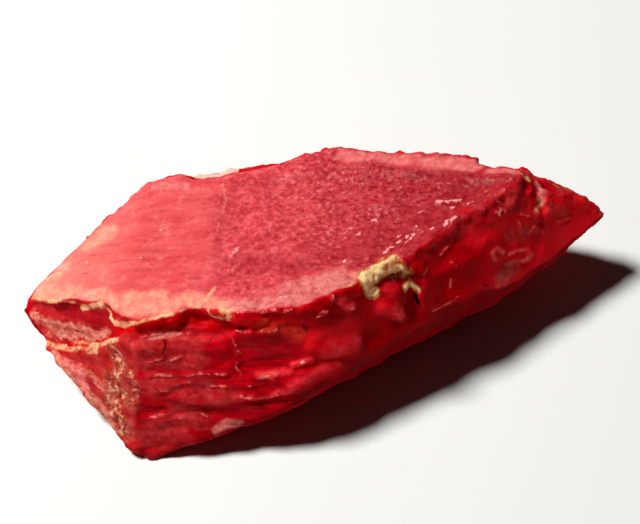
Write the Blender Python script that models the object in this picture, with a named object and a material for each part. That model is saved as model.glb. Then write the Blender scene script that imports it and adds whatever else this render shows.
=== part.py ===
"""Rough rhodonite: one transparent red cleavage fragment, lying on its flat underside."""
from math import floor

import bmesh
import bpy
from mathutils import Vector, noise

MM = 0.001
VOXEL = 0.11            # grid on which the split block is rebuilt, in millimetres
TRIANGLES = 8600        # faces kept on the finished stone
BLANK_SIZE = 60.0       # edge of the cube the block is split from
SOLE_ALLOWANCE = 0.3    # stone left below the sole until it is cut flat
CHIP_CLEARANCE = 2.0    # how far a flake's cutter stands proud of its face
STONE_COLOUR = (0.42, 0.03, 0.04, 1.0)
STONE_ROUGHNESS = 0.4

# Corners of the block, in millimetres. +X runs along the crystal's striations towards
# the pointed tip, +Z is up, and the stone lies on z = 0.
CORNER = {
    "apex": (-12.6, -2.2, 2.3),
    "apex_top": (-12.4, -2.1, 2.9),
    "toe": (-7.2, -7.95, 0.1),
    "ridge_left": (-7.9, -4.2, 5.2),
    "ridge_right": (1.6, -3.5, 6.2),
    "brink_left": (-7.9, -4.55, 5.25),
    "brink_right": (1.6, -4.2, 6.3),
    "shoulder": (8.5, 1.9, 6.2),
    "back_right": (8.0, 2.7, 6.0),
    "back_far": (6.55, 3.45, 5.75),
    "back_mid": (0.6, 4.6, 4.9),
    "back_left": (-7.2, 3.4, 4.2),
    "cheek": (-9.55, 1.0, 3.5),
    "brow": (10.15, 2.3, 5.1),
    "tip": (12.1, 2.2, 3.4),
    "chin": (10.1, 0.3, 3.05),
    "belly_high": (4.87, -2.98, 3.95),
    "belly_far": (8.9, -0.42, 3.3),
    "belly_low": (4.37, -3.28, 3.15),
    "keel_toe": (-6.85, -7.95, 0.15),
    "keel_mid": (-1.3, -6.7, 2.2),
    "keel_near": (1.0, -5.4, 2.35),
    "keel_far": (9.1, -0.25, 1.95),
    "sole_front": (0.0, -3.9, 0.0),
    "sole_tip": (4.5, 1.0, 0.0),
    "sole_left": (-7.5, -2.0, 0.0),
    "foot_left": (-10.3, 1.1, 0.0),
    "foot_back": (-3.3, 4.6, 0.0),
    "foot_right": (4.5, 4.2, 0.0),
    "foot_cheek": (-8.0, 3.2, 0.0),
    "prow_left": (0.2, -4.15, 5.65),
    "prow_right": (2.9, -2.9, 5.4),
    "prow_low": (0.3, -6.15, 2.45),
    "nape": (9.0, 4.0, 4.0),
    "tip_under": (12.05, 2.15, 3.4),
    "chin_under": (10.5, 0.6, 3.05),
}

# Each face of the block is the plane through three corners.
FACES = {
    "top": ("ridge_left", "ridge_right", "back_mid"),
    "top_left": ("apex_top", "ridge_left", "back_left"),
    "front": ("brink_left", "brink_right", "toe"),
    "left_end": ("apex", "toe", "ridge_left"),
    "right": ("ridge_right", "shoulder", "chin"),
    "prow": ("prow_left", "prow_right", "prow_low"),
    "belly": ("belly_high", "belly_far", "belly_low"),
    "under_front": ("keel_toe", "keel_mid", "sole_front"),
    "under_belly": ("keel_near", "keel_far", "sole_front"),
    "under_tip": ("chin_under", "tip_under", "sole_tip"),
    "under_left": ("apex", "toe", "sole_left"),
    "cheek": ("apex", "cheek", "foot_left"),
    "back_left": ("cheek", "back_left", "foot_cheek"),
    "back": ("back_left", "back_mid", "foot_back"),
    "back_right": ("back_mid", "back_far", "foot_right"),
    "crown": ("shoulder", "back_right", "brow"),
    "nape": ("brow", "tip", "nape"),
    "sole": ("sole_front", "sole_left", "foot_back"),
}
HEART = Vector((0.0, 0.0, 3.0))

# Flakes split off the block: the face each left, its depth, and its outline on that face
# in millimetres along the striations and up the face from the face's first corner.
FLAKES = {
    "left_notch": ("top_left", 0.5, (
        (-1.6, 1.5), (0.4, 0.2), (1.8, -0.5), (2.9, -0.9),
        (4.3, -1.5), (4.6, -2.7), (4.7, -4.2), (-1.1, -2.1))),
    "left_shelf": ("left_end", 0.3, (
        (-0.5, 2.0), (-0.4, -0.8), (1.8, -1.0), (4.1, -0.3), (6.2, 0.8), (6.2, 3.0))),
    "ridge_bite": ("top", 0.6, (
        (2.3, -0.3), (2.6, 0.15), (3.5, 0.15), (3.9, -0.3), (3.8, -1.4), (2.4, -1.4))),
    "ridge_nick": ("top", 0.4, (
        (6.9, -0.8), (7.2, -0.4), (8.4, -0.4), (9.3, -0.35), (10.5, -0.2), (10.5, -1.6), (7.0, -1.6))),
    "undercut": ("front", 0.26, (
        (0.0, -0.2), (2.4, 0.1), (3.4, 0.6), (4.2, 0.1),
        (5.6, -0.1), (4.4, -0.45), (2.4, -0.6), (0.1, -0.85))),
    "ledge_chip": ("front", 0.14, (
        (5.2, 0.6), (7.0, 0.4), (9.4, 0.9), (9.2, -0.1), (7.4, -0.3), (6.2, -0.15))),
    "front_flake": ("front", 0.16, (
        (4.2, -0.6), (7.1, -0.3), (9.4, 0.1), (9.1, -1.0),
        (7.8, -1.7), (6.8, -2.2), (4.6, -2.5), (4.4, -1.6))),
    "low_flake": ("front", 0.13, (
        (-1.0, -3.7), (2.3, -3.5), (4.9, -3.3), (7.1, -2.8), (9.5, -3.0), (9.0, -9.0), (-1.5, -9.0))),
    "sugar_bed": ("top", 0.12, (
        (4.2, 7.1), (3.8, 4.8), (3.8, 2.6), (4.1, 1.3), (7.5, 1.7), (9.6, 1.8), (11.0, 2.4), (13.6, 4.3),
        (15.5, 5.4), (15.6, 5.9), (13.0, 6.6), (9.5, 7.2), (7.0, 7.3))),
    "back_bite": ("top", 0.3, (
        (2.1, 10.6), (2.4, 7.6), (3.8, 7.5), (4.6, 7.8),
        (6.7, 8.2), (7.1, 8.4), (7.5, 9.0), (8.0, 10.6))),
    "shoulder_bite": ("top", 0.7, ((14.6, 9.0), (14.6, 7.1), (15.4, 6.8), (17.6, 6.7), (17.6, 9.0))),
    "corner_chip": ("top", 0.5, (
        (14.9, 4.5), (15.4, 5.2), (16.1, 5.2), (16.3, 6.2), (17.0, 6.2), (16.4, 4.0))),
    "pocket": ("right", 0.45, (
        (-0.3, 0.5), (1.1, 1.2), (1.9, 0.8), (2.9, -0.2),
        (3.1, -1.3), (2.5, -1.6), (1.2, -0.6), (0.2, -0.9))),
    "right_facet": ("right", 0.1, (
        (2.0, 1.6), (4.6, 2.0), (5.9, 3.2), (6.6, 3.2), (5.6, 0.9), (3.3, 0.1))),
    "tip_crack": ("right", 0.3, ((8.3, 4.5), (8.65, 4.5), (8.9, 1.5), (8.55, 1.6), (8.4, 2.6))),
    "tip_step": ("crown", 0.3, ((0.2, 3.0), (0.4, -3.0), (4.0, -3.0), (4.0, 3.0))),
    "pit": ("right", 0.2, ((6.6, 0.4), (7.6, 0.3), (8.5, -0.1), (8.1, -0.7), (7.2, -1.3), (6.6, -1.0))),
}

# Knobs left standing out of a face: face, place on it, sunk depth, half axes.
LUMPS = {
    "pocket_lump": ("right", (1.6, -0.72), 0.55, (0.85, 0.9, 0.75)),
}

# Broken surface of each face: step depth, step length and height, grain depth, grain size.
SURFACE = {
    "top": (0.04, 3.5, 0.4, 0.02, 1.2),
    "top_left": (0.04, 3.0, 0.5, 0.04, 0.9),
    "front": (0.055, 3.6, 0.5, 0.025, 0.9),
    "left_end": (0.09, 1.8, 0.45, 0.09, 0.7),
    "right": (0.05, 1.8, 0.9, 0.045, 0.9),
    "prow": (0.06, 1.4, 0.5, 0.05, 0.7),
    "belly": (0.03, 4.0, 0.8, 0.02, 1.5),
    "under_front": (0.08, 3.0, 0.8, 0.04, 1.2),
    "under_belly": (0.06, 3.0, 0.8, 0.04, 1.2),
    "under_tip": (0.06, 3.0, 0.8, 0.04, 1.2),
    "under_left": (0.1, 2.0, 0.8, 0.08, 1.0),
    "cheek": (0.1, 1.4, 0.6, 0.09, 0.8),
    "back_left": (0.1, 2.2, 0.6, 0.09, 0.8),
    "back": (0.09, 4.0, 0.6, 0.07, 0.9),
    "back_right": (0.09, 3.6, 0.6, 0.07, 0.9),
    "crown": (0.08, 1.2, 0.4, 0.06, 0.6),
    "nape": (0.12, 1.6, 0.6, 0.06, 0.8),
    "sole": (0.0, 1.0, 1.0, 0.0, 1.0),
}
KNOB_FACETS = 1         # 1 for the twenty faces of an icosahedron
STEP_DRIFT = 0.2        # how fast the rows of steps drift from one to the next
STEP_STAGGER = 2.5      # how far a row is shifted along its neighbour, in step lengths
SUGAR_DEPTH = 0.085     # granular bed on the top face
SUGAR_GRAIN = 0.42
SUGAR_FACE, _, SUGAR_OUTLINE = FLAKES["sugar_bed"]
WORN_EDGE = 0.12        # wander of every edge, and the distance over which it wanders
WORN_LENGTH = 1.1
WORN_SHIFT = 37.0


def plane(face):
    """A point on a face of the block and its outward normal."""
    a, b, c = (Vector(CORNER[name]) for name in FACES[face])
    normal = (b - a).cross(c - a).normalized()
    if normal.dot(HEART - a) > 0:
        normal.negate()
    return a, normal


def face_frame(face):
    """A face's first corner, its normal, and the directions along and up it."""
    corner, normal = plane(face)
    along = Vector((1, 0, 0)) - Vector((1, 0, 0)).project(normal)
    along.normalize()
    return corner, normal, along, normal.cross(along)


FRAME = {face: face_frame(face) for face in FACES}


def split_block():
    """The block as it split: a blank cut back to each face in turn."""
    shape = bmesh.new()
    bmesh.ops.create_cube(shape, size=BLANK_SIZE)
    for face, (corner, normal, _, _) in FRAME.items():
        if face == "sole":
            corner = corner + normal * SOLE_ALLOWANCE
        cut = bmesh.ops.bisect_plane(
            shape,
            geom=shape.verts[:] + shape.edges[:] + shape.faces[:],
            plane_co=corner,
            plane_no=normal,
            clear_outer=True,
        )
        rim = [e for e in cut["geom_cut"] if isinstance(e, bmesh.types.BMEdge)]
        bmesh.ops.contextual_create(shape, geom=rim)
    bmesh.ops.recalc_face_normals(shape, faces=shape.faces[:])
    return as_object("rhodonite", shape)


def as_object(name, shape):
    """A linked object that holds a shape."""
    mesh = bpy.data.meshes.new(name)
    shape.to_mesh(mesh)
    shape.free()
    obj = bpy.data.objects.new(name, mesh)
    bpy.context.scene.collection.objects.link(obj)
    return obj


def flake_cutter(name, face, depth, outline):
    """A prism over a flake's outline, as deep as the flake."""
    corner, normal, along, up = FRAME[face]
    shape = bmesh.new()
    rings = []
    for height in (-depth, CHIP_CLEARANCE):
        rings.append([shape.verts.new(corner + along * u + up * v + normal * height) for u, v in outline])
    for ring in rings:
        shape.faces.new(ring)
    for i in range(len(outline)):
        j = (i + 1) % len(outline)
        shape.faces.new((rings[0][i], rings[0][j], rings[1][j], rings[1][i]))
    bmesh.ops.recalc_face_normals(shape, faces=shape.faces[:])
    return as_object(name, shape)


def lump_body(name, face, place, sunk, half_axes):
    """A faceted knob part buried in a face."""
    corner, normal, along, up = FRAME[face]
    shape = bmesh.new()
    bmesh.ops.create_icosphere(shape, subdivisions=KNOB_FACETS, radius=1.0)
    centre = corner + along * place[0] + up * place[1] - normal * sunk
    for v in shape.verts:
        a, b, c = v.co.yzx
        v.co = centre + along * a * half_axes[0] + up * b * half_axes[1] + normal * c * half_axes[2]
    return as_object(name, shape)


def settle(obj):
    """Replace an object's mesh by what its modifiers make of it."""
    evaluated = obj.evaluated_get(bpy.context.evaluated_depsgraph_get())
    mesh = bpy.data.meshes.new_from_object(evaluated)
    obj.modifiers.clear()
    obj.data = mesh


def combine(obj, other, operation):
    cut = obj.modifiers.new(other.name, "BOOLEAN")
    cut.object = other
    cut.operation = operation
    cut.solver = "EXACT"
    settle(obj)
    bpy.data.objects.remove(other)


def steps(u, v, length, height, seed):
    """Cleavage steps: -1 to 1, even over patches that are long along the striations."""
    drift = noise.noise(Vector((u / length, v / height * STEP_DRIFT, seed)))
    row = floor(v / height + drift)
    stagger = noise.cell(Vector((row, seed, 0.0))) + noise.noise(Vector((v / height, seed, 0.0)))
    column = floor(u / length + stagger * STEP_STAGGER)
    return noise.cell(Vector((row, column, seed)))


def inside(u, v, outline):
    """Whether a place on a face is inside an outline."""
    odd = False
    for (ua, va), (ub, vb) in zip(outline, outline[1:] + outline[:1]):
        if (va > v) != (vb > v) and u < ua + (ub - ua) * (v - va) / (vb - va):
            odd = not odd
    return odd


def broken_surface(point):
    """Where a point of the split block ends up once its surface is broken and worn."""
    seed, face = max(enumerate(FACES), key=lambda f: (point - FRAME[f[1]][0]).dot(FRAME[f[1]][1]))
    corner, normal, along, up = FRAME[face]
    u, v = (point - corner).dot(along), (point - corner).dot(up)
    step_depth, step_length, step_height, grain_depth, grain_size = SURFACE[face]
    sunk = step_depth * steps(u, v, step_length, step_height, seed)
    sunk += grain_depth * noise.fractal(point / grain_size, 1.0, 2.0, 2)
    if face == SUGAR_FACE and inside(u, v, SUGAR_OUTLINE):
        sunk += SUGAR_DEPTH * noise.noise(point / SUGAR_GRAIN)
    worn = point / WORN_LENGTH
    wander = Vector([noise.noise(worn + Vector((axis * WORN_SHIFT, 0, 0))) for axis in range(3)])
    return point - normal * sunk + wander * WORN_EDGE


def drop_crumbs(shape):
    """Keep only the largest body: a bump below the sole can be cut off as a crumb."""
    unseen = set(shape.verts)
    bodies = []
    while unseen:
        body = [unseen.pop()]
        for vert in body:
            linked = {e.other_vert(vert) for e in vert.link_edges} & unseen
            body.extend(linked)
            unseen -= linked
        bodies.append(body)
    bodies.sort(key=len)
    for body in bodies[:-1]:
        bmesh.ops.delete(shape, geom=body, context="VERTS")


def flatten_sole(mesh):
    """Cut the stone flat at z = 0, where it lies."""
    shape = bmesh.new()
    shape.from_mesh(mesh)
    cut = bmesh.ops.bisect_plane(
        shape,
        geom=shape.verts[:] + shape.edges[:] + shape.faces[:],
        plane_co=(0, 0, 0),
        plane_no=(0, 0, -1),
        clear_outer=True,
    )
    rim = [e for e in cut["geom_cut"] if isinstance(e, bmesh.types.BMEdge)]
    bmesh.ops.contextual_create(shape, geom=rim)
    drop_crumbs(shape)
    bmesh.ops.triangulate(shape, faces=shape.faces[:])
    bmesh.ops.recalc_face_normals(shape, faces=shape.faces[:])
    shape.to_mesh(mesh)
    shape.free()


def centre_and_scale(mesh):
    """Put the origin under the middle of the stone and turn millimetres into metres."""
    spans = [[v.co[axis] for v in mesh.vertices] for axis in range(2)]
    middle = Vector([(min(span) + max(span)) / 2 for span in spans] + [0])
    for v in mesh.vertices:
        v.co = (v.co - middle) * MM


def rhodonite_material():
    material = bpy.data.materials.new("rhodonite")
    material.use_nodes = True
    shader = material.node_tree.nodes["Principled BSDF"]
    shader.inputs["Base Color"].default_value = STONE_COLOUR
    shader.inputs["Roughness"].default_value = STONE_ROUGHNESS
    shader.inputs["Metallic"].default_value = 0.0
    return material


def main():
    for obj in list(bpy.data.objects):
        bpy.data.objects.remove(obj)
    stone = split_block()
    for name, (face, depth, outline) in FLAKES.items():
        combine(stone, flake_cutter(name, face, depth, outline), "DIFFERENCE")
    for name, (face, place, sunk, half_axes) in LUMPS.items():
        combine(stone, lump_body(name, face, place, sunk, half_axes), "UNION")

    grid = stone.modifiers.new("grid", "REMESH")
    grid.mode = "VOXEL"
    grid.voxel_size = VOXEL
    settle(stone)
    for v in stone.data.vertices:
        v.co = broken_surface(v.co)

    stone.data.calc_loop_triangles()
    thin = stone.modifiers.new("thin", "DECIMATE")
    thin.ratio = TRIANGLES / len(stone.data.loop_triangles)
    settle(stone)
    flatten_sole(stone.data)
    centre_and_scale(stone.data)
    stone.data.materials.append(rhodonite_material())


main()
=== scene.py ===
"""Rough rhodonite: a translucent red cleavage fragment lying on a pale sheet."""
from math import cos, floor, radians, sin

import bpy
import numpy as np
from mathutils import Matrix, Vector, noise
from mathutils.bvhtree import BVHTree


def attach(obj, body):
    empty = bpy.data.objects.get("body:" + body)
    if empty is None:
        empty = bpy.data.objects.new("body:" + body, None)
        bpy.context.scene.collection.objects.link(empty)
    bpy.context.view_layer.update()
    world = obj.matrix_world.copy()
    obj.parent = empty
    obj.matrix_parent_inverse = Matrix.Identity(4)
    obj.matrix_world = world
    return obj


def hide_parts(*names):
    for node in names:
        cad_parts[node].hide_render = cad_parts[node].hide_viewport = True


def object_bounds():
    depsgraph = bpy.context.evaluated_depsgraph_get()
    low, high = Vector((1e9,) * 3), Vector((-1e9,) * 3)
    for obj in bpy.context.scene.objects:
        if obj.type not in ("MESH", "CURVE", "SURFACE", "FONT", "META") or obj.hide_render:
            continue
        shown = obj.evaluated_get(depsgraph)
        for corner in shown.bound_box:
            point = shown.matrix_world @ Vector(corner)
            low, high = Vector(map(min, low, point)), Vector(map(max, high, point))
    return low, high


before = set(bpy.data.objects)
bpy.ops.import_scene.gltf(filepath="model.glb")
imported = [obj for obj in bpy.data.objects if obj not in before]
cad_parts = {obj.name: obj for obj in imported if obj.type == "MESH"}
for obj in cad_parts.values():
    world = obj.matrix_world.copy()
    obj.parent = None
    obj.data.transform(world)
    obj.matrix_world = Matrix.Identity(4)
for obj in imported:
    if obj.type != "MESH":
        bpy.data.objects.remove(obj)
CAD_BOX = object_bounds()

MM = 0.001

# The main view, in metres, with its lens and sensor in millimetres.
VIEW_TARGET = Vector((0.00014, 0.00136, 0.003))
VIEW_ELEVATION = radians(55)
VIEW_DISTANCE = 0.074
VIEW_PIXELS = (640, 524)
LENS, SENSOR = 100, 36
NEAREST_SEEN = 0.005
FORWARD = Vector((0, cos(VIEW_ELEVATION), -sin(VIEW_ELEVATION)))
RIGHTWARD = Vector((1, 0, 0))
UPWARD = RIGHTWARD.cross(FORWARD)
EYE = VIEW_TARGET - FORWARD * VIEW_DISTANCE

# The sheet and the light, in metres and watts.
SHEET_HALF = 0.6
LIGHT_TARGET = (0, 0, 0.003)
WINDOW_PLACE = (-0.096, 0.03, 0.168)
WINDOW_SIZE = 0.045
WINDOW_POWER = 0.48
ROOM_LIGHT = 0.014              # strength of the room's light from straight above
ROOM_LIGHT_FROM = 0.3           # how far up, 0 to 1, it starts to come from

# How the stone is remade, in millimetres and passes.
VOXEL = 0.092                   # grid fine enough for the grain
WELD = 0.0001
FACE_BLUR = 30                  # spreads each face's direction over its own steps
TOP_ROUNDING = 14               # smooths the top
FLAT_ROUNDING = 4               # smooths the flats of the broken faces
ROUNDING = 0.5                  # how far one pass goes
RIGHT_ROUNDING = 0.8            # share of the right face that counts as flat
SOLE_FADE = 0.15                # height over which relief fades away towards the sole

# Directions that the stone's faces look in, and the cosine of the angle to them at which a spot
# starts to belong to the face and is wholly part of it.
TOP_FACES = ((-0.11, 0.14, 0.98), (-0.49, 0.16, 0.86))
TOP_MATCH = (0.84, 0.93)
LEFT_END_FACE = (-0.57, -0.70, 0.44)
LEFT_END_MATCH = (0.9, 0.97)
RIGHT_FACE = (0.50, -0.64, 0.58)
RIGHT_MATCH = (0.88, 0.96)
BELLY_UPWARD = (0.42, 0.1)      # the belly looks level or down
BELLY_BACKWARD = (0.2, -0.2)    # and forward
EDGE_EVENNESS = (0.86, 0.95)    # blurred directions are short at an edge and long on a flat
FLAT_EVENNESS = (0.88, 0.97)

# The granular part of the top: where along the stone it starts, and what hides it.
SUGAR_EDGE = (-5.2, -3.4)
SUGAR_WANDER = ((0.5, 1.2), (0.4, 0.4))
HIDES_SUGAR = {"peach": 1.0, "dusty": 0.8, "rim": 0.8}

# Fine relief. A grain is its height and its size; all are in millimetres.
LEDGE_STEP, LEDGE_LENGTH, LEDGE_HEIGHT = 0.04, 1.4, 0.3
STEP_SWAY = 0.2                 # how much a row of steps wanders across the next
STEP_STAGGER = 2.5              # how far a row is shifted along the next, in lengths of a step
LEDGE_LEAN = 0.7                # how far the ledges climb for each millimetre towards the back
LEDGE_GRAINS = ((0.03, 0.45),)
TOP_RIPPLE, TOP_RIPPLE_LENGTH, TOP_RIPPLE_WIDTH = 0.02, 1.6, 0.3
TOP_GRAINS = ((0.02, 0.5),)
SUGAR_GRAINS = ((0.05, 0.34), (0.03, 0.2))
CRUST_GRAINS = ((0.05, 0.35), (0.04, 0.2))
TEETH_GRAINS = ((0.1, 0.3),)
TEETH_FROM = (3.2, 4.2)         # height at which the edges start to be jagged
POCKET_FILL = 0.05
POCKET_GRAINS = ((0.12, 0.5), (0.12, 0.22))
CRUSTED = {"cream": 1.0, "pocket": 0.5, "weathered": 0.8, "left_end": 0.3}
RAISED = {"glow": 0.09, "pit": 0.06, "glints": 0.06, "seams_and_highlights": 0.06}
RIGHT_SMOOTHNESS = 0.7          # share of the ledges that the right face lacks
LEDGE_SEED, RIPPLE_SEED, STAGGER_SEED = 3.0, 7.0, 0.5

# Strokes of the markings.
STROKE_FADE = (0.3, 2.0)        # half widths from its line at which a stroke starts and ends to fade
DEPTH_FORGIVEN = 0.7            # share of the distance into the stone that doesn't count
SHORTEST_RUN = 0.001            # a shorter piece of a stroke, in millimetres, counts as a dot
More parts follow.
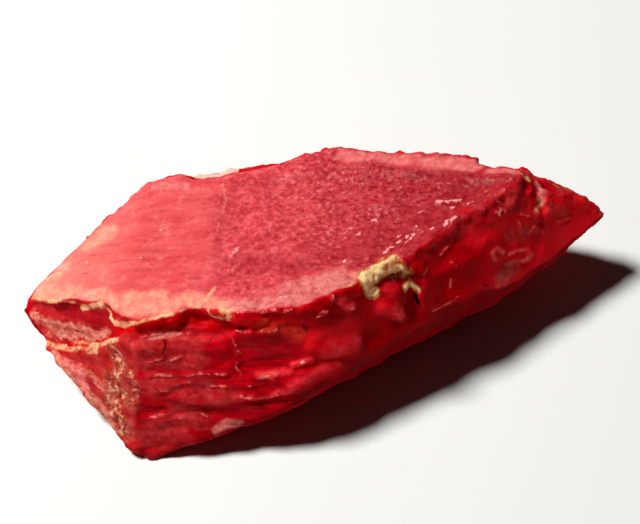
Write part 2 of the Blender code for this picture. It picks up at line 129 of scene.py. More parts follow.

# Markings of the surface, and painted light and shade: half the width of each stroke in millimetres,
# then the places that it runs through, as pixels of the main view.
MARKINGS = {
    "cream": (    # cream crumbs along the ledges
        (0.11, (36, 299), (50, 301), (60, 301)),
        (0.09, (66, 302), (74, 303)),
        (0.15, (84, 308), (92, 306), (101, 304)),
        (0.09, (104, 306), (110, 316), (113, 322)),
        (0.14, (116, 323), (126, 325), (136, 323)),
        (0.09, (134, 323), (146, 320), (158, 317)),
        (0.09, (158, 317), (172, 314)),
        (0.09, (180, 311), (190, 306), (200, 307)),
        (0.1, (206, 308), (212, 314), (219, 318)),
        (0.17, (219, 318), (226, 320), (232, 315)),
        (0.1, (205, 300), (212, 292), (215, 288)),
        (0.07, (340, 288), (350, 285), (358, 281)),
        (0.07, (536, 183), (541, 189)),
        (0.09, (537, 197), (541, 204), (537, 210)),
        (0.06, (514, 171), (523, 175), (529, 181)),
        (0.14, (48, 343), (58, 347), (72, 349), (86, 348), (98, 346), (108, 341), (116, 339)),
        (0.1, (72, 342), (88, 343), (98, 344)),
        (0.1, (84, 353), (96, 352)),
        (0.15, (222, 310), (232, 312)),
    ),
    "pocket": (    # the cream filled pocket
        (0.26, (364, 277), (368, 285), (372, 292)),
        (0.32, (371, 279), (380, 273), (389, 267), (397, 269)),
        (0.16, (388, 262), (393, 258)),
        (0.22, (399, 266), (405, 273)),
        (0.13, (405, 289), (411, 282), (417, 289)),
    ),
    "rust": (    # brown rims and cracks
        (0.08, (358, 272), (361, 284), (367, 296)),
        (0.13, (399, 262), (407, 267), (410, 279)),
        (0.07, (376, 262), (386, 258), (396, 260)),
        (0.1, (404, 282), (400, 276)),
        (0.06, (548, 181), (562, 188), (577, 193), (590, 201), (599, 210)),
        (0.06, (522, 176), (530, 180)),
    ),
    "peach": (    # milky band behind the ridge
        (0.34, (40, 293), (70, 294), (100, 297), (124, 310), (160, 308), (184, 300)),
        (0.34, (120, 300), (160, 298)),
        (0.34, (192, 300), (214, 305), (232, 308)),
        (0.35, (60, 270), (48, 284)),
        (0.4, (92, 242), (108, 232)),
    ),
    "dusty": (    # dusty pink band behind the ridge
        (0.4, (242, 305), (266, 302), (290, 300), (312, 292), (332, 288), (352, 280)),
        (0.3, (282, 290), (310, 280), (340, 274)),
    ),
    "layers": (    # milky layers of the left end
        (0.2, (32, 318), (60, 325), (92, 331)),
        (0.2, (50, 333), (92, 336), (108, 332)),
        (0.2, (70, 366), (92, 376), (108, 392), (118, 420)),
        (0.25, (56, 356), (70, 372), (88, 393), (104, 410), (118, 430)),
        (0.22, (33, 316), (44, 322), (54, 330)),
    ),
    "shaded_notch": (    # painted shade: darker clear red in the notch under the left lip
        (0.24, (60, 308), (84, 314), (108, 321)),
    ),
    "weathered": (    # weathered lower left corner
        (0.3, (114, 350), (120, 364), (117, 377)),
        (0.42, (112, 380), (120, 390), (128, 400)),
        (0.42, (110, 402), (117, 414), (124, 430)),
        (0.22, (129, 376), (135, 392)),
    ),
    "brown": (    # brown tinted patches
        (0.25, (104, 378), (112, 366)),
        (0.22, (124, 404), (116, 400)),
        (0.3, (260, 326), (285, 330), (300, 336)),
    ),
    "frosted": (    # frosted patches and scratches
        (0.16, (216, 430), (226, 423), (240, 423)),
        (0.04, (432, 311), (446, 304), (458, 296)),
        (0.05, (450, 287), (451, 279)),
        (0.05, (424, 275), (427, 269)),
        (0.1, (150, 338), (178, 334)),
    ),
    "seams_and_highlights": (    # healed seams with pale edges, and painted highlights along the ledges of the front
        (0.06, (142, 337), (150, 335), (160, 333)),
        (0.06, (166, 334), (176, 334), (192, 333)),
        (0.06, (235, 332), (252, 331)),
        (0.06, (262, 331), (276, 330)),
        (0.06, (232, 337), (237, 346), (239, 354)),
        (0.06, (237, 362), (236, 368), (243, 376)),
        (0.06, (150, 362), (162, 358)),
        (0.06, (170, 360), (182, 356)),
        (0.06, (150, 376), (158, 374), (170, 376)),
        (0.06, (185, 375), (200, 373), (226, 374)),
        (0.06, (210, 386), (226, 386)),
        (0.06, (240, 397), (256, 397), (270, 396), (279, 391)),
        (0.06, (150, 418), (166, 414)),
        (0.06, (176, 418), (185, 417)),
        (0.06, (200, 412), (208, 416)),
        (0.06, (320, 313), (328, 310)),
        (0.07, (238, 312), (252, 311)),
        (0.07, (262, 312), (278, 309)),
        (0.06, (284, 311), (292, 309)),
        (0.06, (150, 392), (166, 390)),
        (0.06, (176, 384), (190, 382)),
        (0.06, (441, 254), (444, 249), (450, 245)),
        (0.06, (518, 222), (522, 230)),
        (0.06, (452, 262), (456, 268)),
        (0.06, (530, 232), (534, 226)),
        (0.06, (558, 222), (568, 218)),
        (0.06, (498, 201), (503, 205), (505, 212)),
        (0.06, (520, 214), (529, 216)),
    ),
    "glints": (    # painted highlights: glints of light on small facets
        (0.07, (263, 376), (270, 374)),
        (0.07, (301, 362), (303, 361)),
        (0.07, (161, 230), (165, 229)),
        (0.07, (441, 200), (445, 200)),
        (0.07, (456, 201), (460, 200)),
        (0.07, (451, 208), (455, 208)),
        (0.07, (431, 230), (433, 228)),
        (0.07, (449, 226), (450, 223)),
        (0.07, (399, 237), (401, 236)),
        (0.07, (405, 246), (407, 243)),
        (0.07, (368, 257), (373, 255)),
        (0.07, (350, 308), (352, 307)),
        (0.07, (390, 281), (393, 281)),
        (0.07, (86, 262), (88, 264)),
        (0.07, (140, 258), (142, 260)),
        (0.07, (482, 212), (484, 209)),
        (0.07, (500, 207), (501, 211)),
        (0.07, (249, 385), (251, 385)),
        (0.07, (331, 299), (333, 297)),
        (0.07, (540, 196), (540, 199)),
        (0.07, (388, 250), (390, 249)),
        (0.07, (421, 235), (423, 233)),
        (0.07, (470, 204), (473, 203)),
        (0.07, (415, 228), (417, 227)),
        (0.07, (462, 203), (468, 204)),
        (0.07, (436, 202), (448, 201)),
        (0.07, (446, 222), (450, 226)),
        (0.07, (410, 240), (414, 236)),
        (0.07, (386, 252), (392, 247)),
        (0.07, (496, 212), (500, 215)),
        (0.07, (233, 252), (238, 249)),
        (0.07, (440, 203), (452, 201), (466, 204)),
        (0.07, (444, 226), (456, 218)),
        (0.07, (384, 254), (398, 244), (410, 236)),
        (0.07, (232, 256), (238, 249)),
        (0.07, (318, 316), (326, 312)),
        (0.07, (278, 299), (286, 297)),
        (0.07, (356, 236), (360, 233)),
        (0.07, (418, 214), (424, 210)),
        (0.07, (372, 222), (376, 220)),
        (0.07, (392, 206), (396, 204)),
        (0.07, (344, 262), (349, 259)),
    ),
    "glow": (    # painted light: brighter patches where light gathers inside the stone
        (0.17, (260, 375), (274, 376)),
        (0.15, (280, 373), (289, 371)),
        (0.1, (293, 365), (311, 360)),
        (0.22, (326, 352), (338, 348), (356, 342)),
        (0.2, (284, 392), (300, 382), (318, 372), (336, 364)),
        (0.2, (396, 306), (402, 316)),
        (0.2, (342, 300), (350, 306)),
        (0.1, (250, 397), (268, 396), (279, 391)),
        (0.28, (330, 350), (342, 348), (354, 344)),
    ),
    "dark": (    # cracks and clear dark patches
        (0.05, (163, 336), (166, 345), (163, 352), (166, 358)),
        (0.05, (484, 284), (487, 286)),
        (0.05, (302, 322), (306, 332)),
    ),
    "inclusion": (    # black manganese oxide
        (0.1, (415, 295), (418, 301)),
        (0.06, (418, 301), (421, 309)),
    ),
    "rim": (    # smooth pale rim at the back of the top
        (0.3, (345, 156), (380, 155), (400, 160), (440, 163), (476, 165)),
        (0.14, (488, 172), (510, 170), (520, 174)),
        (0.25, (156, 187), (184, 186)),
    ),
    "cube": (    # clear darker red facets
        (0.22, (506, 186), (516, 184)),
        (0.28, (480, 230), (492, 212), (498, 206)),
        (0.2, (520, 196), (518, 206)),
        (0.1, (522, 188), (526, 200), (524, 210)),
        (0.34, (384, 288), (394, 292), (398, 300)),
        (0.09, (239, 171), (260, 167), (284, 164)),
        (0.35, (246, 344), (268, 348), (286, 346)),
        (0.2, (460, 211), (472, 212)),
        (0.14, (436, 237), (446, 231)),
        (0.11, (411, 248), (420, 244)),
        (0.1, (484, 204), (490, 200)),
    ),
    "shade": (    # painted shade: darker clear red of the top towards the right face, where it turns from the light
        (0.9, (372, 248), (400, 236), (430, 224), (460, 208), (490, 192)),
        (0.5, (246, 262), (300, 270), (345, 252)),
        (0.28, (488, 190), (500, 197), (512, 206)),
        (0.4, (377, 253), (392, 241)),
    ),
    "groove": (    # painted highlight: a pale line along a shallow groove across the top
        (0.07, (222, 184), (226, 200), (222, 212)),
        (0.04, (219, 222), (217, 234)),
    ),
    "striations": (    # short darker striations
        (0.05, (110, 262), (150, 261)),
        (0.05, (134, 251), (176, 250)),
        (0.05, (96, 246), (120, 244)),
        (0.05, (166, 258), (196, 256)),
        (0.04, (90, 255), (112, 254)),
        (0.04, (120, 272), (150, 270)),
        (0.04, (150, 238), (176, 236)),
        (0.04, (70, 276), (92, 274)),
        (0.04, (170, 282), (200, 279)),
    ),
    "sliver": (    # painted light: a thin glassy edge behind the top, pale where light shines through it
        (0.1, (191, 176), (205, 176), (220, 174), (236, 170)),
    ),
    "pit": (    # chalky pit on the right face, and a painted highlight on the front
        (0.3, (499, 279), (507, 273), (514, 266)),
        (0.11, (506, 264), (516, 260), (526, 260), (531, 254), (527, 250)),
        (0.08, (495, 259), (492, 253), (497, 248), (503, 252)),
        (0.08, (509, 254), (517, 250), (526, 250)),
        # painted highlight: a bright spot on the front, where light gathers in the stone
        (0.14, (262, 376), (269, 375), (275, 374)),
    ),
    "undercut": (    # clear red hollow under the front lip
        (0.2, (116, 328), (140, 327), (168, 324), (196, 318)),
        (0.2, (204, 322), (232, 325), (262, 322), (292, 320)),
        (0.12, (302, 309), (320, 307), (332, 303)),
    ),
    "flush_and_glow": (    # milky pink flush beside the crack at the tip, and painted light in the left end, where light gathers inside the stone
        # painted light gathered inside the left end
        (0.22, (76, 370), (86, 386)),
        (0.12, (66, 360), (72, 366)),
        (0.15, (538, 184), (542, 193), (539, 203), (537, 211)),
    ),
    "milky": (    # milky red patches of the front
        (0.55, (140, 345), (190, 343)),
        (0.5, (150, 385), (200, 385)),
        (0.7, (150, 436), (190, 418)),
        (0.4, (190, 400), (230, 395)),
        (0.3, (510, 236), (540, 226)),
        (0.35, (498, 190), (520, 200)),
        (0.2, (548, 206), (566, 214)),
        (0.4, (145, 362), (195, 360)),
    ),
    "lit": (    # painted light: brighter red where light comes through the thin stone
        (0.5, (318, 342), (350, 330)),
        (0.5, (550, 204), (582, 212)),
        (0.4, (472, 238), (500, 224)),
        (0.3, (384, 308), (396, 314)),
    ),
}


def smoothstep(low, high, value):
    """0 to 1 as the value goes from low to high; low may be the greater."""
    t = np.clip((value - low) / (high - low), 0.0, 1.0)
    return t * t * (3.0 - 2.0 * t)


def surface_of(node):
    """The node's surface, in millimetres, for finding where lines of sight meet it."""
    corners = [v.co / MM for v in node.data.vertices]
    return BVHTree.FromPolygons(corners, [tuple(p.vertices) for p in node.data.polygons])


def on_surface(surface, place):
    """The point of the stone that a pixel of the main view shows, or the nearest if it shows none."""
    across = place[0] - VIEW_PIXELS[0] / 2
    up = VIEW_PIXELS[1] / 2 - place[1]
    focal_length = VIEW_PIXELS[0] * LENS / SENSOR
    sight = (FORWARD * focal_length + RIGHTWARD * across + UPWARD * up).normalized()
    shown = surface.ray_cast(EYE / MM, sight)[0]
    if shown is None:
        shown = surface.find_nearest((EYE + sight * VIEW_DISTANCE) / MM)[0]
    return shown


def along_strokes(points, normals, strokes, surface):
    """1 on the strokes, fading to 0 away from them; depth counts for little."""
    mask = np.zeros(len(points))
    for half_width, *places in strokes:
        line = [np.array(on_surface(surface, place)) for place in places]
        start, end = (fade * half_width for fade in STROKE_FADE)
        for a, b in zip(line, line[1:]):
            run = b - a
            t = np.clip((points - a) @ run / max(run @ run, SHORTEST_RUN ** 2), 0.0, 1.0)
            gap = points - a - t[:, None] * run
            gap -= DEPTH_FORGIVEN * normals * (gap * normals).sum(axis=1)[:, None]
            gap = np.linalg.norm(gap, axis=1)
            mask = np.maximum(mask, 1.0 - smoothstep(start, end, gap))
    return mask


def settle(obj):
    """Replace an object's mesh by what its modifiers make of it."""
    evaluated = obj.evaluated_get(bpy.context.evaluated_depsgraph_get())
    mesh = bpy.data.meshes.new_from_object(evaluated)
    obj.modifiers.clear()
    obj.data = mesh


def remade_stone(node):
    """The stone on a fine even grid, in millimetres."""
    mesh = node.data.copy()
    stone = bpy.data.objects.new("rough_rhodonite", mesh)
    bpy.context.scene.collection.objects.link(stone)
    for v in mesh.vertices:
        v.co /= MM
    weld = stone.modifiers.new("weld", "WELD")
    weld.merge_threshold = WELD
    grid = stone.modifiers.new("grid", "REMESH")
    grid.mode = "VOXEL"
    grid.voxel_size = VOXEL
    settle(stone)
    return stone


def read(attribute, items, width):
    """One attribute of all the items as an array with a row for each."""
    values = np.empty(len(items) * width, dtype=np.float32)
    items.foreach_get(attribute, values)
    return values.reshape(-1, width).astype(float)


def spread(mesh, values, passes, weight=1.0):
    """Each vertex's values drawn towards the mean of its neighbours'."""
    ends = np.empty(len(mesh.edges) * 2, dtype=np.int32)
    mesh.edges.foreach_get("vertices", ends)
    a, b = ends.reshape(-1, 2).T
    count = len(values)
    degree = np.bincount(a, minlength=count) + np.bincount(b, minlength=count)
    for _ in range(passes):
        mean = np.stack([
            (np.bincount(a, column[b], count) + np.bincount(b, column[a], count)) / degree
            for column in values.T
        ], axis=1)
        values = values + weight * (mean - values)
    return values


def facing(faces, directions, match):
    """How well each vertex's face looks in one of the directions, 0 to 1."""
    return smoothstep(*match, np.max([faces @ np.array(d) for d in directions], axis=0))


def bumps(p, grains):
    """Relief of a few grains at one place."""
    return sum(height * noise.noise(p / size) for height, size in grains)


def steps(u, v, length, height, seed):
    """Cleavage steps: -1 to 1, even over patches that are long along the striations."""
    drift = noise.noise(Vector((u / length, v / height * STEP_SWAY, seed)))
    row = floor(v / height + drift)
    column = floor(u / length + noise.noise(Vector((v / height, seed, STAGGER_SEED))) * STEP_STAGGER)
    return noise.cell(Vector((row, column, seed)))


def zones(points, faces, evenness, surface):
    """How much of each kind of surface every vertex has, 0 to 1."""
    zone = {name: along_strokes(points, faces, strokes, surface) for name, strokes in MARKINGS.items()}
    zone["top"] = facing(faces, TOP_FACES, TOP_MATCH)
    wander = np.array([bumps(Vector(p), SUGAR_WANDER) for p in points])
    zone["sugar"] = zone["top"] * smoothstep(*SUGAR_EDGE, points[:, 0] + wander)
    for name, share in HIDES_SUGAR.items():
        zone[name] *= zone["top"]
        zone["sugar"] *= 1.0 - share * zone[name]
    zone["right"] = facing(faces, [RIGHT_FACE], RIGHT_MATCH)
    zone["left_end"] = facing(faces, [LEFT_END_FACE], LEFT_END_MATCH)
    zone["belly"] = smoothstep(*BELLY_UPWARD, faces[:, 2]) * smoothstep(*BELLY_BACKWARD, faces[:, 1])
    zone["edge"] = 1.0 - smoothstep(*EDGE_EVENNESS, evenness)
    return zone


def fine_relief(points, zone):
    """How far each vertex stands out from the remade surface, in millimetres."""
    crust = np.max([share * zone[name] for name, share in CRUSTED.items()], axis=0)
    top, sugar = zone["top"], zone["sugar"]
    ledged = (1.0 - top) * (1.0 - crust) * (1.0 - RIGHT_SMOOTHNESS * zone["right"])
    rippled = top * (1.0 - sugar)
    jagged = zone["edge"] * smoothstep(*TEETH_FROM, points[:, 2])
    out = sum(height * zone[name] for name, height in RAISED.items())
    for i, co in enumerate(points):
        p = Vector(co)
        climb = p.z - LEDGE_LEAN * p.y
        ledge = LEDGE_STEP * steps(p.x, climb, LEDGE_LENGTH, LEDGE_HEIGHT, LEDGE_SEED)
        ripple = Vector((p.x / TOP_RIPPLE_LENGTH, p.y / TOP_RIPPLE_WIDTH, RIPPLE_SEED))
        out[i] += (
            ledged[i] * (ledge + bumps(p, LEDGE_GRAINS))
            + rippled[i] * (TOP_RIPPLE * noise.noise(ripple) + bumps(p, TOP_GRAINS))
            + sugar[i] * bumps(p, SUGAR_GRAINS)
            + crust[i] * bumps(p, CRUST_GRAINS)
            + zone["pocket"][i] * (POCKET_FILL + bumps(p, POCKET_GRAINS))
            + jagged[i] * bumps(p, TEETH_GRAINS)
        )
    return out


def dress_stone():
    """The stone on its fine grid, with its relief, the zones of its colours and its material."""
    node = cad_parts["rhodonite"]
    stone = remade_stone(node)
    mesh = stone.data
    points = read("co", mesh.vertices, 3)
    normals = read("vector", mesh.vertex_normals, 3)
    faces = spread(mesh, normals, FACE_BLUR)
    evenness = np.linalg.norm(faces, axis=1)
    zone = zones(points, faces / evenness[:, None], evenness, surface_of(node))

    points = spread(mesh, points, 1, ROUNDING)
    flat = smoothstep(*FLAT_EVENNESS, evenness)
    points = spread(mesh, points, TOP_ROUNDING, ROUNDING * (flat * zone["top"])[:, None])
    flat = np.maximum(flat, RIGHT_ROUNDING * zone["right"])
    points = spread(mesh, points, FLAT_ROUNDING, ROUNDING * flat[:, None])
    above_sole = smoothstep(0.0, SOLE_FADE, points[:, 2])
    points += normals * (fine_relief(points, zone) * above_sole)[:, None]
    low, high = (np.array(corner) / MM for corner in CAD_BOX)
    points = np.clip(points, low, high) * MM
    mesh.vertices.foreach_set("co", points.astype(np.float32).ravel())

    for name, values in zone.items():
        layer = mesh.attributes.new(name, "FLOAT", "POINT")
        layer.data.foreach_set("value", values.astype(np.float32))
    mesh.shade_smooth()
    mesh.update()
    mesh.materials.clear()
    mesh.materials.append(rhodonite())
    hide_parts("rhodonite")
    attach(stone, "root")


def linear(hex_colour):
    """An sRGB hex colour as linear RGBA."""
    channels = [int(hex_colour[i:i + 2], 16) / 255 for i in (1, 3, 5)]
    return tuple(c / 12.92 if c <= 0.04045 else ((c + 0.055) / 1.055) ** 2.4 for c in channels) + (1.0,)


def add(tree, kind, settings=(), values=(), links=()):
    """A node with its settings, the values of its inputs and the outputs linked to them."""
    node = tree.nodes.new("ShaderNode" + kind)
    for name, value in dict(settings).items():
        setattr(node, name, value)
    for name, value in dict(values).items():
        node.inputs[name].default_value = value
    for name, output in dict(links).items():
        tree.links.new(output, node.inputs[name])
    return node


class Palette:
    """The patterns that the stone's colours are made from, and the ways to mix them."""

    def __init__(self, tree):
        self.tree = tree
        place = add(tree, "TexCoord").outputs["Object"]
        scaled = add(tree, "VectorMath", {"operation": "SCALE"}, {"Scale": 1 / MM}, {0: place})
        self.mm = scaled.outputs[0]
        self.across, self.back, _ = add(tree, "SeparateXYZ", {}, {}, {0: self.mm}).outputs
        along = self.stretched(0.3, 2.2)
        thin = self.stretched(0.6, 6.0)
        self.clouds = self.grain(0.45, 4.0)                 # 2 mm clouds of colour
        self.patches = self.grain(1.3, 8.0, 0.7)            # 0.8 mm patches with crumbled edges
        self.mottle = self.grain(1.6, 6.0, 0.65)            # 0.6 mm mottling
        self.sugar = self.grain(3.4, 6.0, 0.72)             # 0.3 mm grains
        self.crumbs = self.grain(5.5, 4.0)                  # 0.2 mm crumbs
        self.streaks = self.grain(1.0, 5.0, vector=along)   # lengthwise bands about 0.4 mm wide
        self.striae = self.grain(1.0, 4.0, 0.6, thin)       # lengthwise lines about 0.15 mm wide
        self.chips = self.splinters(thin)                   # splinters of the cleavage

    def stretched(self, along, crosswise):
        """Places scaled by less along the stone than across it, so that patterns run lengthwise."""
        scale = (along, crosswise, crosswise)
        return add(self.tree, "Mapping", {}, {"Scale": scale}, {"Vector": self.mm}).outputs[0]

    def grain(self, per_mm, detail, rough=0.55, vector=None):
        """Soft noise, at a number of lumps a millimetre."""
        values = {"Scale": per_mm, "Detail": detail, "Roughness": rough}
        links = {"Vector": self.mm if vector is None else vector}
        return add(self.tree, "TexNoise", {}, values, links).outputs["Fac"]

    def splinters(self, thin):
        """Long chips that sway a little, each with a shade of its own."""
        sway = add(self.tree, "TexNoise", {}, {"Scale": 1.5}, {"Vector": self.mm}).outputs["Color"]
        bent = self.math_node("VectorMath", "MULTIPLY_ADD", {1: (0.5, 0.5, 0.5)}, {0: sway, 2: thin})
        cells = add(self.tree, "TexVoronoi", {"distance": "CHEBYCHEV"}, {"Scale": 1.0}, {"Vector": bent})
        return cells.outputs["Color"]

    def math_node(self, kind, operation, values, links):
        """What one operation makes of its values and links."""
        return add(self.tree, kind, {"operation": operation}, values, links).outputs[0]

    def times(self, a, b):
        return self.math_node("Math", "MULTIPLY", {}, {0: a, 1: b})

    def scaled_up(self, value, scale, base):
        """The value times a plain number, on top of the base."""
        return self.math_node("Math", "MULTIPLY_ADD", {1: scale}, {0: value, 2: base})

    def zone(self, name):
        """How much of one kind of surface there is."""
        return add(self.tree, "Attribute", {"attribute_name": name}).outputs["Fac"]

    def ranged(self, value, low, high, to_low=0.0, to_high=1.0):
        """to_low to to_high, softly, as the value goes from low to high."""
        values = {1: low, 2: high, 3: to_low, 4: to_high}
        return add(self.tree, "MapRange", {"interpolation_type": "SMOOTHSTEP"}, values, {0: value}).outputs[0]

    def blend(self, factor, below, above):
        """The colour above over the colour below; each is a hex colour or an output."""
        node = add(self.tree, "Mix", {"data_type": "RGBA"})
        for socket, value in ((0, factor), (6, below), (7, above)):
            if isinstance(value, str):
                node.inputs[socket].default_value = linear(value)
            else:
                self.tree.links.new(value, node.inputs[socket])
        return node.outputs[2]

    def varied(self, pattern, dark, light):
        """From one tone to the other with the pattern."""
        return self.blend(self.ranged(pattern, 0.35, 0.65), dark, light)

    def ragged(self, name, pattern, cover, soft=0.05, most=1.0):
        """A marking broken up by a pattern: cover is how much of its zone it fills."""
        edge = 0.82
        broken = self.ranged(self.scaled_up(self.zone(name), cover, pattern), edge - soft, edge + soft)
        return self.times(self.ranged(self.zone(name), 0.0, 0.3, 0.0, most), broken)


def broken_faces(p):
    """Deep clear red with streaks, splinters and striations; painted paler where light comes through, and
    painted darker on the shaded belly.
    """
    colour = p.varied(p.clouds, "#C00210", "#DC061A")
    colour = p.blend(p.ranged(p.streaks, 0.5, 0.72, 0.0, 0.6), colour, "#E00C20")
    colour = p.blend(p.ranged(p.chips, 0.2, 0.8, 0.5, 0.0), colour, "#8C020C")
    striated = p.ranged(p.zone("right"), 0.0, 1.0, 1.0, 0.2)
    colour = p.blend(p.times(p.ranged(p.striae, 0.6, 0.72, 0.0, 0.35), striated), colour, "#F83440")
    colour = p.blend(p.times(p.ranged(p.striae, 0.42, 0.3, 0.0, 0.6), striated), colour, "#6A0206")
    # painted light: paler towards the back, where light comes through the stone
    behind = p.times(p.ranged(p.back, 0.5, 3.0, 0.0, 0.6), p.ranged(p.patches, 0.48, 0.62))
    colour = p.blend(behind, colour, "#D4464A")

    # painted light: the right face is brighter red towards the thin tip, where light shines through it
    near_pocket = p.varied(p.clouds, "#B00006", "#D0040C")
    near_tip = p.varied(p.clouds, "#F80410", "#FF1828")
    right = p.blend(p.ranged(p.across, 4.0, 10.0), near_pocket, near_tip)
    colour = p.blend(p.ranged(p.zone("right"), 0.0, 1.0, 0.0, 0.85), colour, right)
    # painted shade: the belly looks down into the shadow and is painted darker
    colour = p.blend(p.ranged(p.zone("belly"), 0.0, 1.0, 0.0, 0.9), colour, "#7C0004")
    left_end = p.varied(p.mottle, "#A81418", "#D03C3A")
    return p.blend(p.ranged(p.zone("left_end"), 0.2, 1.0, 0.0, 0.8), colour, left_end)


def etched_top(p):
    """Coral where it is smooth, pink with dark and pale grains where it is sugary."""
    smooth = p.blend(p.ranged(p.streaks, 0.35, 0.7), "#D8484C", "#E25C5E")
    smooth = p.blend(p.ranged(p.mottle, 0.5, 0.7, 0.0, 0.6), smooth, "#F4807C")
    smooth = p.blend(p.ranged(p.mottle, 0.45, 0.3, 0.0, 0.5), smooth, "#CC343A")
    smooth = p.blend(p.ranged(p.crumbs, 0.4, 0.32, 0.0, 0.5), smooth, "#B83036")
    # painted light: paler towards the left end of the top
    smooth = p.blend(p.ranged(p.across, -6.0, -11.5, 0.0, 0.42), smooth, "#FF9C88")

    sugary = p.varied(p.sugar, "#C8363C", "#EA5C62")
    sugary = p.blend(p.ranged(p.mottle, 0.52, 0.36, 0.0, 0.5), sugary, "#B02A30")
    dark_grains = p.times(p.ranged(p.crumbs, 0.48, 0.39), p.ranged(p.across, -3.0, 5.0, 0.35, 1.0))
    sugary = p.blend(dark_grains, sugary, "#8A141A")
    pale_grains = p.times(p.ranged(p.crumbs, 0.6, 0.67), p.ranged(p.across, -3.0, 5.0, 0.2, 1.0))
    sugary = p.blend(pale_grains, sugary, "#FFB4AC")
    sugary = p.blend(p.ranged(p.across, -4.0, 7.0, 0.0, 0.76), sugary, "#981820")
    return p.blend(p.zone("sugar"), smooth, sugary)


def marked(p, colour):
    """The markings over a colour, from the lowest to the topmost."""
    for name, pattern, cover, soft, most, dark, light in (
        ("layers", p.striae, 0.44, 0.14, 0.85, "#D85C50", "#F8A890"),
        # painted shade of the top towards the right face
        ("shade", p.mottle, 0.4, 0.25, 0.8, "#90141A", "#C0343A"),
        ("striations", p.sugar, 0.45, 0.2, 0.7, "#A82830", "#C84448"),
        # painted light where the stone is thin
        ("lit", p.clouds, 0.5, 0.3, 0.9, "#FF0814", "#FF2430"),
        ("milky", p.mottle, 0.42, 0.3, 0.6, "#C42024", "#F05454"),
        ("peach", p.mottle, 0.55, 0.35, 0.85, "#EC8470", "#FCB094"),
        ("dusty", p.streaks, 0.5, 0.2, 0.9, "#C4504C", "#E88C84"),
        ("rim", p.mottle, 0.5, 0.2, 0.8, "#D8605E", "#F08C86"),
        # painted highlight along the groove
        ("groove", p.patches, 0.4, 0.25, 0.6, "#E86C68", "#F8988C"),
        # painted shade in the notch under the left lip
        ("shaded_notch", p.clouds, 0.7, 0.15, 0.9, "#8C0610", "#AC0C18"),
        ("undercut", p.clouds, 0.7, 0.15, 1.0, "#BC0408", "#D4060E"),
        # painted light gathered inside the stone
        ("glow", p.mottle, 0.45, 0.25, 0.9, "#F8101C", "#FF4450"),
        ("dark", p.mottle, 0.5, 0.15, 0.9, "#5A0206", "#700408"),
        ("cube", p.mottle, 0.5, 0.2, 0.85, "#A00C14", "#C41420"),
        ("brown", p.patches, 0.41, 0.2, 0.75, "#C42414", "#E8402C"),
        ("frosted", p.patches, 0.45, 0.2, 0.8, "#E85C54", "#FFA898"),
        # pink flush, and painted light in the left end
        ("flush_and_glow", p.mottle, 0.5, 0.3, 0.8, "#D84C54", "#FF8C88"),
        # chalky pit, and a painted highlight on the front
        ("pit", p.patches, 0.45, 0.22, 0.9, "#FF3C34", "#FF7870"),
        ("weathered", p.mottle, 0.5, 0.25, 0.85, "#A02C24", "#D46C5A"),
        ("weathered", p.sugar, 0.3, 0.06, 0.8, "#D8704C", "#FFB890"),
        ("weathered", p.crumbs, 0.28, 0.06, 0.8, "#6C1610", "#8C2A1C"),
        # pale seams, and painted highlights along the ledges
        ("seams_and_highlights", p.crumbs, 0.34, 0.08, 0.9, "#FF4844", "#FF948C"),
        ("rust", p.patches, 0.42, 0.08, 0.8, "#943410", "#D88044"),
        # painted light through the thin glassy edge
        ("sliver", p.mottle, 0.8, 0.2, 0.9, "#F4B4A0", "#FFDCC8"),
        ("cream", p.patches, 0.37, 0.09, 0.9, "#E08C60", "#FFD49C"),
        ("pocket", p.mottle, 0.62, 0.1, 1.0, "#A8502C", "#E8A068"),
        ("pocket", p.patches, 0.385, 0.06, 1.0, "#FFC078", "#FFE0A4"),
        ("inclusion", p.patches, 0.5, 0.06, 1.0, "#140806", "#2A120E"),
        # painted highlights: glints of light on small facets
        ("glints", p.crumbs, 0.34, 0.06, 0.9, "#FF8884", "#FFC0B4"),
    ):
        tone = p.varied(p.sugar, dark, light)
        colour = p.blend(p.ragged(name, pattern, cover, soft, most), colour, tone)
    return colour


def roughness_of(p):
    """Glassy where the stone is cleaved, duller on the top and rough where it is crusted."""
    crusts = {0: p.ragged("cream", p.patches, 0.42), 1: p.ragged("weathered", p.patches, 0.45)}
    crust = p.math_node("Math", "MAXIMUM", {}, crusts)
    polish = p.scaled_up(p.zone("top"), 0.2, p.ranged(p.sugar, 0.3, 0.7, 0.25, 0.42))
    return p.scaled_up(crust, 0.35, polish)


def gloss_of(p):
    """A faint gloss everywhere, and glitter on the sugary part."""
    glitter = p.times(p.zone("sugar"), p.ranged(p.mottle, 0.35, 0.6, 0.02, 0.25))
    return p.math_node("Math", "ADD", {1: 0.06}, {0: glitter})


def rhodonite():
    """Rhodonite, a manganese silicate: glassy and deep red where it is cleaved, so that
    light goes in and comes back red, and pink and sugary where its surface is etched."""
    material = bpy.data.materials.new("etched_rhodonite")
    material.use_nodes = True
    tree = material.node_tree
    p = Palette(tree)
    colour = marked(p, p.blend(p.zone("top"), broken_faces(p), etched_top(p)))
    fine = add(tree, "Bump", {}, {"Strength": 0.9, "Distance": 0.04 * MM}, {"Height": p.sugar})
    lines = {"Height": p.striae, "Normal": fine.outputs[0]}
    bumped = add(tree, "Bump", {}, {"Strength": 0.7, "Distance": 0.04 * MM}, lines).outputs[0]

    inputs = tree.nodes["Principled BSDF"].inputs
    for name, output in (("Base Color", colour), ("Roughness", roughness_of(p)), ("Normal", bumped),
                         ("Coat Weight", gloss_of(p)), ("Coat Normal", bumped)):
        tree.links.new(output, inputs[name])
    inputs["Coat Roughness"].default_value = 0.15
    inputs["IOR"].default_value = 1.73
    inputs["Specular IOR Level"].default_value = 0.0
    inputs["Subsurface Weight"].default_value = 0.5
    inputs["Subsurface Radius"].default_value = (1.0, 0.08, 0.08)
    inputs["Subsurface Scale"].default_value = 1.4 * MM
    return material


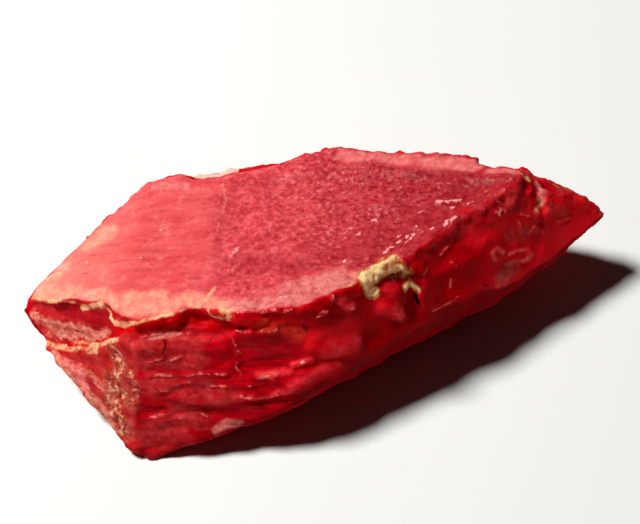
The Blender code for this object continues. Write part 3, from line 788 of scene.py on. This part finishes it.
def paper():
    """Matte white paper, which throws light back up into the stone."""
    material = bpy.data.materials.new("white_paper")
    material.use_nodes = True
    shader = material.node_tree.nodes["Principled BSDF"]
    shader.inputs["Base Color"].default_value = linear("#F2F3EE")
    shader.inputs["Roughness"].default_value = 0.9
    shader.inputs["Specular IOR Level"].default_value = 0.2
    return material


def lay_sheet():
    mesh = bpy.data.meshes.new("sheet")
    corners = [(x * SHEET_HALF, y * SHEET_HALF, 0) for x, y in ((-1, -1), (1, -1), (1, 1), (-1, 1))]
    mesh.from_pydata(corners, [], [(0, 1, 2, 3)])
    mesh.materials.append(paper())
    sheet = bpy.data.objects.new("sheet", mesh)
    bpy.context.scene.collection.objects.link(sheet)


def aimed(name, data, location, direction):
    """A camera or a light that looks in a direction."""
    obj = bpy.data.objects.new(name, data)
    obj.location = location
    obj.rotation_euler = Vector(direction).to_track_quat("-Z", "Y").to_euler()
    bpy.context.scene.collection.objects.link(obj)
    return obj


def hang_window():
    light = bpy.data.lights.new("window", "AREA")
    light.shape = "DISK"
    light.size = WINDOW_SIZE
    light.energy = WINDOW_POWER
    aimed("window", light, WINDOW_PLACE, Vector(LIGHT_TARGET) - Vector(WINDOW_PLACE))


def light_room():
    """A weak glow from above, which fades to nothing towards the horizon."""
    world = bpy.data.worlds.new("room")
    world.use_nodes = True
    tree = world.node_tree
    background = tree.nodes["Background"]
    background.inputs["Color"].default_value = linear("#FFFDF8")
    direction = add(tree, "TexCoord").outputs["Generated"]
    height = add(tree, "SeparateXYZ", {}, {}, {0: direction}).outputs[2]
    glow = add(tree, "MapRange", {}, {1: ROOM_LIGHT_FROM, 2: 1.0, 3: 0.0, 4: ROOM_LIGHT}, {0: height})
    tree.links.new(glow.outputs[0], background.inputs["Strength"])
    bpy.context.scene.world = world
    bpy.context.scene.view_settings.view_transform = "Standard"


def place_camera():
    camera = bpy.data.cameras.new("camera")
    camera.lens = LENS
    camera.sensor_width = SENSOR
    camera.clip_start = NEAREST_SEEN
    bpy.context.scene.camera = aimed("camera", camera, EYE, FORWARD)


dress_stone()
lay_sheet()
hang_window()
light_room()
place_camera()
